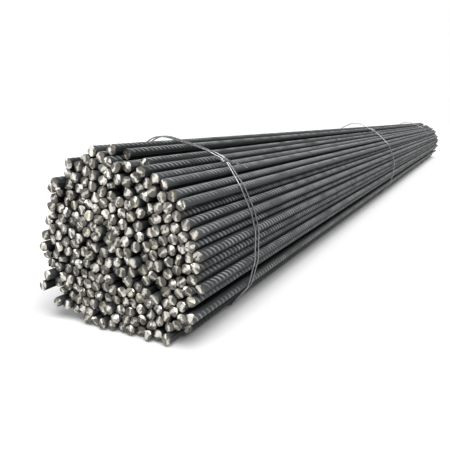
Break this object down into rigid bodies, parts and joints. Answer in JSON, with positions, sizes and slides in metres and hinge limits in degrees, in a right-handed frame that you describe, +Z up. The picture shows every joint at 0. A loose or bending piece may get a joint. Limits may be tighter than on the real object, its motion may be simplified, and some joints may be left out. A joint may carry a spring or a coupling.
{
  "type": "rebar bundle",
  "caption": "Round mill bundle of straight ribbed reinforcing bars with sheared ends, held together by double turns of twisted tie wire.",
  "frame": {"origin": "on the floor, under the middle of the bundle's box", "axes": "+X along the bars, from the near sheared end to the far one; +Z up; the side the picture shows faces -Y"},
  "size_m": [6.0784, 0.4672, 0.4567],
  "materials": {
    "bar_steel": "dark blue-grey mill scale, bright where sheared",
    "tie_wire": "drawn, dull grey"
  },
  "bodies": {
    "root": {"bars_layer_01": "bar_steel", "bars_layer_02": "bar_steel", "bars_layer_03": "bar_steel", "bars_layer_04": "bar_steel", "bars_layer_05": "bar_steel", "bars_layer_06": "bar_steel", "bars_layer_07": "bar_steel", "bars_layer_08": "bar_steel", "bars_layer_09": "bar_steel", "bars_layer_10": "bar_steel", "bars_layer_11": "bar_steel", "bars_layer_12": "bar_steel", "bars_layer_13": "bar_steel", "bars_layer_14": "bar_steel", "bars_layer_15": "bar_steel", "bars_layer_16": "bar_steel", "tie_wire_front": "tie_wire", "tie_wire_middle": "tie_wire", "tie_wire_rear": "tie_wire"}
  },
  "joints": []
}
